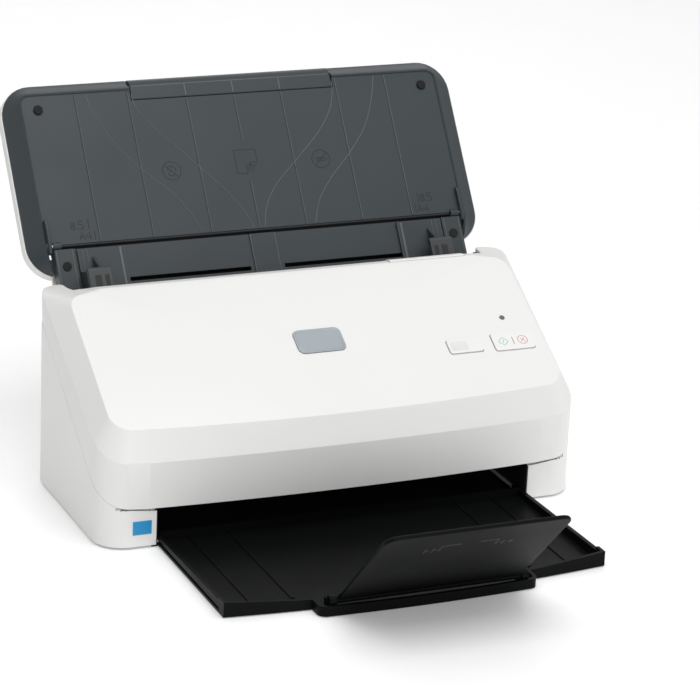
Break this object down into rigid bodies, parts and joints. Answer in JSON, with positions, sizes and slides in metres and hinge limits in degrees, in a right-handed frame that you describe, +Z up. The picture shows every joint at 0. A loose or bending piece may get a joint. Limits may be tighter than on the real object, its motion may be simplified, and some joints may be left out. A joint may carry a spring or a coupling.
{
  "type": "sheet fed document scanner",
  "caption": "Desktop sheet fed document scanner with folding input tray, sliding paper guides, hinged front cover, driven rollers and pull-out output tray with raised stop.",
  "frame": {"origin": "on the table under the middle of the object's box at rest, with both trays open", "axes": "+X to the right seen from the front, +Y towards the back, +Z up"},
  "size_m": [0.3, 0.3932, 0.2189],
  "materials": {
    "casing_white": "satin",
    "shell_white": "satin",
    "tray_grey": "fine matte texture",
    "guide_grey": "fine matte texture",
    "black_plastic": "fine matte texture",
    "output_black": "satin",
    "rubber_black": "matte",
    "roller_rubber": "matte",
    "steel_sheet": "zinc plated",
    "steel_bright": "ground",
    "spring_steel": "polished",
    "gear_plastic": "satin",
    "bush_plastic": "satin",
    "glass_clear": "polished",
    "sensor_black": "matte",
    "board_green": "solder mask",
    "button_white": "satin",
    "badge_silver": "brushed",
    "lamp_grey": "translucent",
    "label_blue": "printed film",
    "flag_amber": "satin",
    "motor_metal": "zinc plated"
  },
  "bodies": {
    "base": {"main_housing": "casing_white", "rear_cover": "casing_white", "chute_hood": "casing_white", "base_plate": "black_plastic", "bay_pan": "black_plastic", "rubber_feet": "rubber_black", "cavity_roof": "black_plastic", "chute_plate": "tray_grey", "chute_plugs": "rubber_black", "lower_paper_guide": "black_plastic", "rear_glass": "glass_clear", "rear_image_sensor": "sensor_black", "side_frame_left": "steel_sheet", "side_frame_right": "steel_sheet", "shaft_bushes": "bush_plastic", "idler_stud": "steel_bright", "motor_case": "motor_metal", "main_board": "board_green", "usb_port": "steel_bright", "power_inlet": "black_plastic", "base_screws": "steel_bright", "blank_label": "label_blue"},
    "input_tray": {"tray_panel": "tray_grey", "tray_back_shell": "shell_white", "tray_plugs": "rubber_black", "tray_hinge_pins": "steel_bright"},
    "extension": {"tray_extension": "tray_grey"},
    "guide_left": {"guide_left": "guide_grey"},
    "guide_right": {"guide_right": "guide_grey"},
    "guide_pinion": {"guide_pinion": "gear_plastic"},
    "front_cover": {"door_cover": "casing_white", "door_inner_frame": "black_plastic", "door_hinge_pins": "steel_bright", "front_glass": "glass_clear", "front_image_sensor": "sensor_black", "badge": "badge_silver", "status_led": "lamp_grey", "button_board": "board_green", "separation_holder": "black_plastic", "separation_spring": "spring_steel", "door_latches": "spring_steel", "pinch_clips": "black_plastic"},
    "separation_roller": {"separation_roller": "roller_rubber"},
    "power_button": {"power_button": "button_white"},
    "scan_button": {"scan_button": "button_white"},
    "door_release": {"door_release": "casing_white"},
    "pick_roller": {"pick_shaft": "steel_bright", "pick_tyre": "roller_rubber"},
    "feed_roller": {"feed_shaft": "steel_bright", "feed_tyres": "roller_rubber"},
    "exit_roller": {"exit_shaft": "steel_bright", "exit_tyres": "roller_rubber"},
    "idler": {"idler_gear": "gear_plastic"},
    "motor_rotor": {"motor_gear": "gear_plastic"},
    "feed_pinch": {"feed_pinch_rollers": "roller_rubber"},
    "exit_pinch": {"exit_pinch_rollers": "roller_rubber"},
    "paper_flag": {"paper_flag": "flag_amber"},
    "output_tray": {"output_tray": "output_black"},
    "paper_stop": {"paper_stop": "output_black"}
  },
  "joints": [
    {"name": "input_tray_hinge", "type": "hinge", "parent": "base", "child": "input_tray", "pos_m": [0, 0.12653, 0.13446], "axis": [-1, 0, 0], "range_deg": [-124, 0]},
    {"name": "extension_slide", "type": "slide", "parent": "input_tray", "child": "extension", "axis": [0, 0.5835, 0.8121], "range_m": [0, 0.065]},
    {"name": "guide_right_slide", "type": "slide", "parent": "base", "child": "guide_right", "axis": [-1, 0, 0], "range_m": [0, 0.08]},
    {"name": "guide_left_slide", "type": "slide", "parent": "base", "child": "guide_left", "axis": [1, 0, 0], "range_m": [0, 0.08]},
    {"name": "guide_pinion_spin", "type": "hinge", "parent": "base", "child": "guide_pinion", "pos_m": [0, 0.11625, 0.11193], "axis": [0, -0.8121, 0.5835], "range_deg": [-660, 660]},
    {"name": "cover_hinge", "type": "hinge", "parent": "base", "child": "front_cover", "pos_m": [0, -0.01742, 0.0264], "axis": [1, 0, 0], "range_deg": [0, 38]},
    {"name": "separation_spin", "type": "hinge", "parent": "front_cover", "child": "separation_roller", "pos_m": [0, 0.06692, 0.08346], "axis": [1, 0, 0], "continuous": true},
    {"name": "power_press", "type": "slide", "parent": "front_cover", "child": "power_button", "axis": [0, 0.5045, -0.8634], "range_m": [0, 0.0008], "stiffness_N_per_m": 300, "springref_m": -0.001},
    {"name": "scan_press", "type": "slide", "parent": "front_cover", "child": "scan_button", "axis": [0, 0.5045, -0.8634], "range_m": [0, 0.0008], "stiffness_N_per_m": 300, "springref_m": -0.001},
    {"name": "release_press", "type": "slide", "parent": "front_cover", "child": "door_release", "axis": [0, 0, -1], "range_m": [0, 0.002], "stiffness_N_per_m": 300, "springref_m": -0.002},
    {"name": "motor_spin", "type": "hinge", "parent": "base", "child": "motor_rotor", "pos_m": [0, 0.07312, 0.04813], "axis": [1, 0, 0], "continuous": true},
    {"name": "pick_spin", "type": "hinge", "parent": "base", "child": "pick_roller", "pos_m": [0, 0.07569, 0.06797], "axis": [1, 0, 0], "continuous": true},
    {"name": "feed_spin", "type": "hinge", "parent": "base", "child": "feed_roller", "pos_m": [0, 0.0548, 0.05615], "axis": [1, 0, 0], "continuous": true},
    {"name": "idler_spin", "type": "hinge", "parent": "base", "child": "idler", "pos_m": [0, 0.03391, 0.04433], "axis": [1, 0, 0], "continuous": true},
    {"name": "exit_spin", "type": "hinge", "parent": "base", "child": "exit_roller", "pos_m": [0, 0.01302, 0.03252], "axis": [1, 0, 0], "continuous": true},
    {"name": "feed_pinch_spin", "type": "hinge", "parent": "front_cover", "child": "feed_pinch", "pos_m": [0, 0.04756, 0.06895], "axis": [1, 0, 0], "continuous": true},
    {"name": "exit_pinch_spin", "type": "hinge", "parent": "front_cover", "child": "exit_pinch", "pos_m": [0, 0.00578, 0.04531], "axis": [1, 0, 0], "continuous": true},
    {"name": "flag_hinge", "type": "hinge", "parent": "base", "child": "paper_flag", "pos_m": [0, 0.07035, 0.06725], "axis": [1, 0, 0], "range_deg": [0, 30], "stiffness_Nm_per_rad": 0.002, "springref_deg": -11.46},
    {"name": "output_slide", "type": "slide", "parent": "base", "child": "output_tray", "axis": [0, -1, 0], "range_m": [-0.095, 0]},
    {"name": "stop_hinge", "type": "hinge", "parent": "output_tray", "child": "paper_stop", "pos_m": [0, -0.13602, 0.0084], "axis": [1, 0, 0], "range_deg": [-135, 0]}
  ],
  "couplings": [
    {"joint": "guide_left_slide", "follows": "guide_right_slide", "ratio": 1},
    {"joint": "guide_pinion_spin", "follows": "guide_right_slide", "rad_per_m": 142.86},
    {"joint": "pick_spin", "follows": "motor_spin", "ratio": -1},
    {"joint": "feed_spin", "follows": "motor_spin", "ratio": -1},
    {"joint": "idler_spin", "follows": "motor_spin", "ratio": 0.71429},
    {"joint": "exit_spin", "follows": "motor_spin", "ratio": -1},
    {"joint": "feed_pinch_spin", "follows": "motor_spin", "ratio": 1.84},
    {"joint": "exit_pinch_spin", "follows": "motor_spin", "ratio": 1.84}
  ]
}
